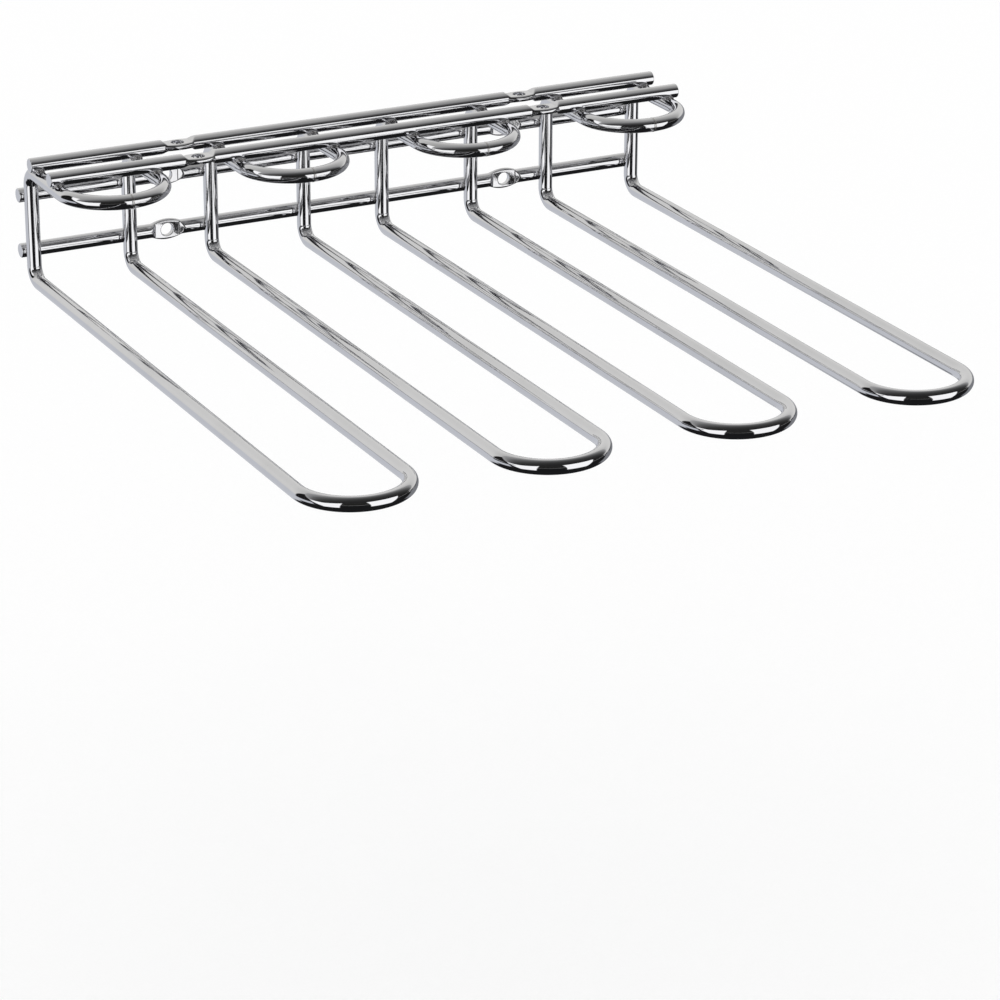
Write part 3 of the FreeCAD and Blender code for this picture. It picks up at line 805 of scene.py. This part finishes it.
def screen_piece(context, level):
    """An overhead screen above the front of the loops, seen only in the plate.  Its emission is
    painted light:
    a glow that stands in for light falling on a dark cloth, falling away from its back edge to its
    front edge."""
    back, front, left, right = -0.04, -0.76, -1.6, 1.8
    stops = [(-0.76, 0.015), (-0.45, 0.03), (-0.33, 0.05), (-0.265, 0.085), (-0.19, 0.14),
             (-0.127, 0.26), (-0.04, 0.40)]
    mesh = bpy.data.meshes.new("overhead_screen")
    corners = [(left, front, level), (right, front, level),
               (right, back, level), (left, back, level)]
    mesh.from_pydata(corners, [], [(0, 1, 2, 3)])
    material = bpy.data.materials.new("painted_glow_cloth")
    material.use_nodes = True
    nodes = Nodes(material.node_tree)
    nodes.tree.nodes.clear()
    place = nodes.add("ShaderNodeTexCoord").outputs["Object"]
    deep = nodes.add("ShaderNodeSeparateXYZ", {0: place}).outputs["Y"]
    # Painted light: the cloth glows from 0.40 at its back edge down to 0.015 at its front edge.
    glow = nodes.ramp(nodes.span(deep, front, back, smooth=False),
                      [((y - front) / (back - front), (light,) * 3) for y, light in stops])
    weave = nodes.span(nodes.noise(place, 60.0), 0.3, 0.7, 0.9, 1.1)
    # The cloth is no lamp; this emission is painted light, and only the plate mirrors it.
    light = nodes.add("ShaderNodeEmission",
                      {"Color": glow, "Strength": weave})
    nodes.add("ShaderNodeOutputMaterial", {"Surface": light.outputs[0]})
    mesh.materials.append(material)
    screen = bpy.data.objects.new("overhead_screen", mesh)
    context.scene.collection.objects.link(screen)
    for kind in ("camera", "diffuse", "transmission", "volume_scatter", "shadow"):
        setattr(screen, "visible_" + kind, False)


def floor_material():
    """Pale matt paper with the faintest tooth; clear from below, to leave the rack in view."""
    material = bpy.data.materials.new("paper")
    material.use_nodes = True
    nodes = Nodes(material.node_tree)
    shader = material.node_tree.nodes["Principled BSDF"]
    place = nodes.add("ShaderNodeTexCoord").outputs["Object"]
    fleck = nodes.noise(place, 900.0, 2.0)
    grey = nodes.span(fleck, 0.3, 0.7, 0.99, 1.0)
    colour = nodes.add("ShaderNodeCombineColor", {0: grey, 1: grey, 2: grey}).outputs[0]
    bump = nodes.add("ShaderNodeBump", {"Height": fleck, "Strength": 0.05, "Distance": 0.0002})
    link = material.node_tree.links.new
    link(colour, shader.inputs["Base Color"])
    link(bump.outputs[0], shader.inputs["Normal"])
    shader.inputs["Roughness"].default_value = 0.95
    shader.inputs["Specular IOR Level"].default_value = 0.0
    clear = nodes.add("ShaderNodeBsdfTransparent")
    behind = nodes.add("ShaderNodeNewGeometry").outputs["Backfacing"]
    pick = nodes.add("ShaderNodeMixShader", {0: behind, 1: shader.outputs[0],
                                             2: clear.outputs[0]})
    out = next(n for n in material.node_tree.nodes if n.type == "OUTPUT_MATERIAL")
    link(pick.outputs[0], out.inputs["Surface"])
    return material


# --------------------------------------------------------------- operators

class RACK_OT_finger_loops(bpy.types.Operator):
    """Make the four closed loops of wire that carry the glasses"""
    bl_idname = "rack.finger_loops"
    bl_label = "Finger loops"

    def execute(self, context):
        for finger in FINGERS:
            make_piece("loop_wire_%d" % finger, loop_surface(finger, context.scene.rack_sizes),
                       wire_material(), ["finger_loop_%d" % finger])
        return {"FINISHED"}


class RACK_OT_rails(bpy.types.Operator):
    """Make the four straight rails with their punched screw tabs"""
    bl_idname = "rack.rails"
    bl_label = "Rails"

    def execute(self, context):
        for rail in RAILS:
            make_piece("bar_" + rail, rail_surface(rail, context.scene.rack_sizes),
                       wire_material(), [rail])
        return {"FINISHED"}


class RACK_OT_welds(bpy.types.Operator):
    """Make the weld beads where the loops' legs cross the rails"""
    bl_idname = "rack.welds"
    bl_label = "Welds"

    def execute(self, context):
        for number, ((rail, finger), spots) in enumerate(crossings().items()):
            beads = [weld_surface(*spot, context.scene.rack_sizes, 2 * number + side)
                     for side, spot in enumerate(spots)]
            make_piece("bead_%s_%d" % (rail, finger), joined(beads), weld_material(),
                       ["weld_%s_%d" % (rail, finger)])
        return {"FINISHED"}


class RACK_OT_seams(bpy.types.Operator):
    """Make the flash rings where each loop's wire is joined end to end"""
    bl_idname = "rack.seams"
    bl_label = "Butt seams"

    def execute(self, context):
        for finger in FINGERS:
            make_piece("flash_ring_%d" % finger,
                       seam_surface(finger, context.scene.rack_sizes),
                       weld_material(), ["butt_seam_%d" % finger])
        return {"FINISHED"}


class RACK_OT_studio(bpy.types.Operator):
    """Set up the floor, the soft light and the camera"""
    bl_idname = "rack.studio"
    bl_label = "Studio"

    def execute(self, context):
        scene = context.scene
        studio = scene.rack_studio
        scene.world = studio_world(studio)
        scene.view_settings.view_transform = "Standard"
        mesh = bpy.data.meshes.new("floor")
        level = CAD_LOW.z - studio.floor_drop
        reach = 40.0
        corners = [(-reach, -reach, level), (reach, -reach, level),
                   (reach, reach, level), (-reach, reach, level)]
        mesh.from_pydata(corners, [], [(0, 1, 2, 3)])
        mesh.materials.append(floor_material())
        floor = bpy.data.objects.new("floor", mesh)
        scene.collection.objects.link(floor)
        floor.visible_glossy = False
        screen_piece(context, CAD_HIGH.z + 0.27)

        lens = bpy.data.cameras.new("camera")
        lens.lens = studio.focal_length
        lens.sensor_width = 36.0
        lens.clip_start, lens.clip_end = 0.05, 200.0
        camera = bpy.data.objects.new("camera", lens)
        scene.collection.objects.link(camera)
        a, e, roll = studio.azimuth, studio.elevation, studio.roll
        ahead = Vector((-math.sin(a) * math.cos(e), math.cos(a) * math.cos(e), -math.sin(e)))
        level_right = Vector((math.cos(a), math.sin(a), 0))
        level_up = level_right.cross(ahead)
        right = level_right * math.cos(roll) + level_up * math.sin(roll)
        up = level_up * math.cos(roll) - level_right * math.sin(roll)
        turn = Matrix((right, up, -ahead)).transposed()
        camera.matrix_world = Matrix.Translation(Vector(studio.place)) @ turn.to_4x4()
        scene.camera = camera
        return {"FINISHED"}


class RACK_PT_panel(bpy.types.Panel):
    """Sizes, finishes and the pieces of the rack"""
    bl_idname = "RACK_PT_panel"
    bl_label = "Stemware Rack"
    bl_space_type = "VIEW_3D"
    bl_region_type = "UI"
    bl_category = "Rack"

    def draw(self, context):
        for group in ("rack_sizes", "rack_finish", "rack_studio"):
            settings = getattr(context.scene, group)
            box = self.layout.box()
            for name in settings.__annotations__:
                box.prop(settings, name)
        for operator in STEPS:
            self.layout.operator(operator.bl_idname)


STEPS = (RACK_OT_finger_loops, RACK_OT_rails, RACK_OT_welds, RACK_OT_seams, RACK_OT_studio)
SETTINGS = {"rack_sizes": RackSizes, "rack_finish": RackFinish, "rack_studio": RackStudio}


def register():
    for part in (*SETTINGS.values(), *STEPS, RACK_PT_panel):
        bpy.utils.register_class(part)
    for name, group in SETTINGS.items():
        setattr(bpy.types.Scene, name, PointerProperty(type=group))


def unregister():
    for name in SETTINGS:
        delattr(bpy.types.Scene, name)
    for part in (RACK_PT_panel, *reversed(STEPS), *SETTINGS.values()):
        bpy.utils.unregister_class(part)


def main():
    register()
    bpy.ops.rack.finger_loops()
    bpy.ops.rack.rails()
    bpy.ops.rack.welds()
    bpy.ops.rack.seams()
    bpy.ops.rack.studio()


if __name__ == "__main__":
    main()
